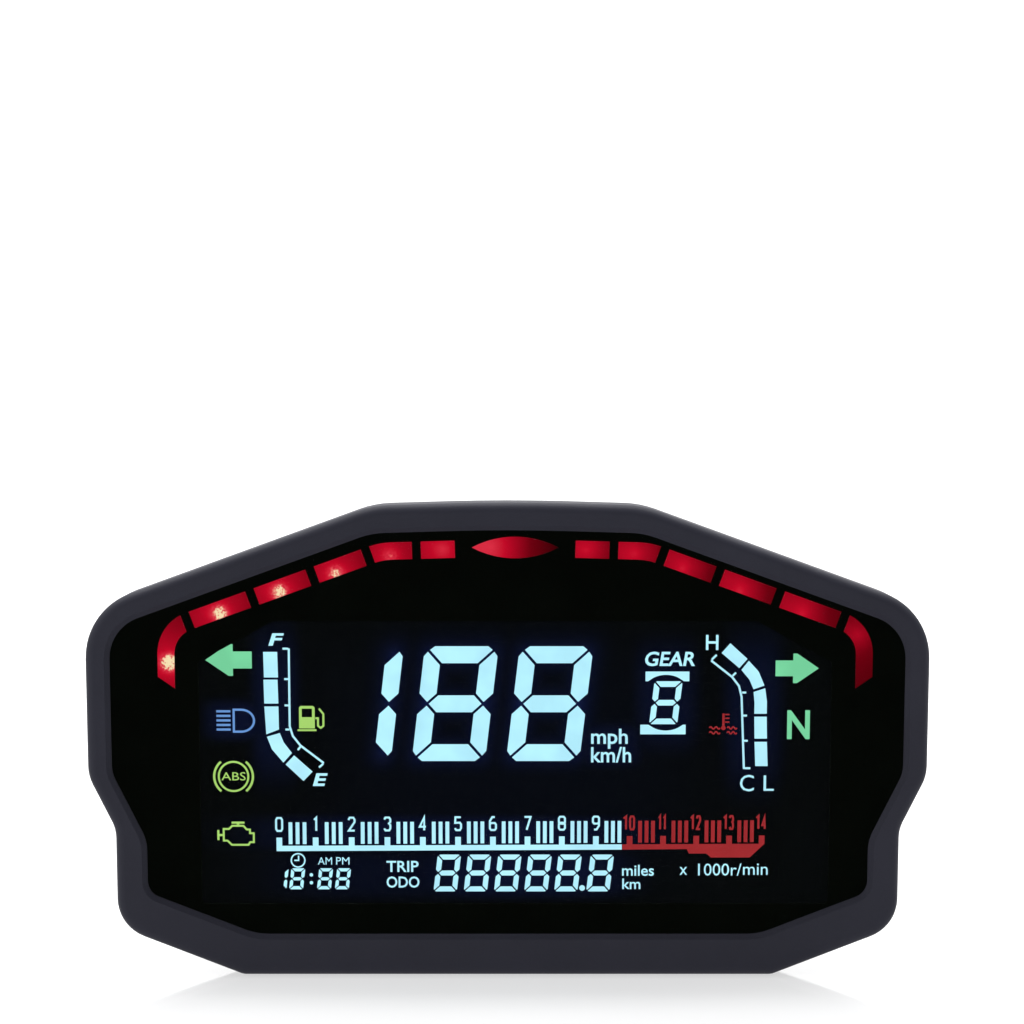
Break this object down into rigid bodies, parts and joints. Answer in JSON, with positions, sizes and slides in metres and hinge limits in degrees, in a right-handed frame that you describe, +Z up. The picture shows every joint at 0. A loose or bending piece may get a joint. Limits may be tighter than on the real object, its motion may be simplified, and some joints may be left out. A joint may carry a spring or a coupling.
{
  "type": "motorcycle instrument cluster",
  "caption": "Sealed instrument cluster with a chamfered polygonal case, backlit LCD speedometer, red shift-light band, rear push buttons, connector socket and rear studs.",
  "frame": {"origin": "centre of the three mounting studs, on the plane of the rubber isolators' rear faces where the bracket lies", "axes": "-Y out of the display towards the rider, +Y along the studs, +X to the rider's right, +Z up along the display"},
  "size_m": [0.155, 0.047, 0.0878],
  "materials": {
    "bezel_plastic": "fine spark-eroded grain, dark grey ABS",
    "housing_plastic": "moulded black ABS, coarser grain",
    "seal_rubber": "black silicone",
    "isolator_rubber": "black moulded rubber",
    "screw_steel": "zinc-plated steel",
    "stud_steel": "zinc-plated steel, rolled thread",
    "insert_brass": "knurled brass",
    "lens_clear": "clear hard-coated acrylic",
    "gasket_adhesive": "black foam adhesive",
    "mask_black": "black printed mask",
    "diffuser_red": "translucent red acrylic, lit from behind",
    "light_box_white": "white reflective ABS",
    "led_white": "moulded LED",
    "polariser_dark": "polarising film, negative display",
    "lcd_glass": "flat display glass",
    "guide_acrylic": "clear acrylic light guide",
    "sheet_white": "white optical film",
    "frame_plastic": "black nylon",
    "contact_rubber": "layered conductive silicone",
    "board_green": "solder-masked glass-fibre board",
    "chip_black": "moulded epoxy",
    "can_aluminium": "drawn aluminium can",
    "crystal_steel": "nickel-plated can",
    "key_rubber": "black rubber-skinned key",
    "switch_plastic": "switch body",
    "socket_nylon": "glass-filled nylon",
    "pin_brass": "tinned brass",
    "vent_plastic": "black polyamide",
    "membrane_white": "porous membrane"
  },
  "bodies": {
    "case": {"front_bezel": "bezel_plastic", "rear_housing": "housing_plastic", "housing_seal": "seal_rubber", "housing_screws": "screw_steel", "window_lens": "lens_clear", "lens_gasket": "gasket_adhesive", "face_mask": "mask_black", "light_box": "light_box_white", "shift_leds": "led_white", "lcd_front_polariser": "polariser_dark", "lcd_rear_polariser": "polariser_dark", "lcd_front_glass": "lcd_glass", "lcd_rear_glass": "lcd_glass", "lcd_frame": "frame_plastic", "light_guide": "guide_acrylic", "diffuser_sheet": "sheet_white", "reflector_sheet": "sheet_white", "backlight_bar_left": "led_white", "backlight_bar_right": "led_white", "contact_strip": "contact_rubber", "main_board": "board_green", "board_screws": "screw_steel", "microcontroller": "chip_black", "lcd_driver": "chip_black", "voltage_regulator": "chip_black", "capacitors": "can_aluminium", "crystal": "crystal_steel", "chip_resistors": "chip_black", "left_switch_body": "switch_plastic", "right_switch_body": "switch_plastic", "left_button_ring": "seal_rubber", "right_button_ring": "seal_rubber", "connector_shell": "socket_nylon", "connector_pins": "pin_brass", "connector_seal": "seal_rubber", "vent_plug": "vent_plastic", "vent_membrane": "membrane_white", "threaded_inserts": "insert_brass", "mounting_studs": "stud_steel", "rubber_isolators": "isolator_rubber", "shift_diffuser_01": "diffuser_red", "shift_diffuser_02": "diffuser_red", "shift_diffuser_03": "diffuser_red", "shift_diffuser_04": "diffuser_red", "shift_diffuser_05": "diffuser_red", "shift_diffuser_06": "diffuser_red", "shift_diffuser_07": "diffuser_red", "shift_diffuser_08": "diffuser_red", "shift_diffuser_09": "diffuser_red", "shift_diffuser_10": "diffuser_red", "shift_diffuser_11": "diffuser_red", "shift_diffuser_12": "diffuser_red", "shift_diffuser_13": "diffuser_red"},
    "left_key": {"left_button": "key_rubber", "left_switch_stem": "switch_plastic"},
    "right_key": {"right_button": "key_rubber", "right_switch_stem": "switch_plastic"}
  },
  "joints": [
    {"name": "left_button_press", "type": "slide", "parent": "case", "child": "left_key", "axis": [0, -1, 0], "range_m": [0, 0.0006], "stiffness_N_per_m": 2500},
    {"name": "right_button_press", "type": "slide", "parent": "case", "child": "right_key", "axis": [0, -1, 0], "range_m": [0, 0.0006], "stiffness_N_per_m": 2500}
  ]
}
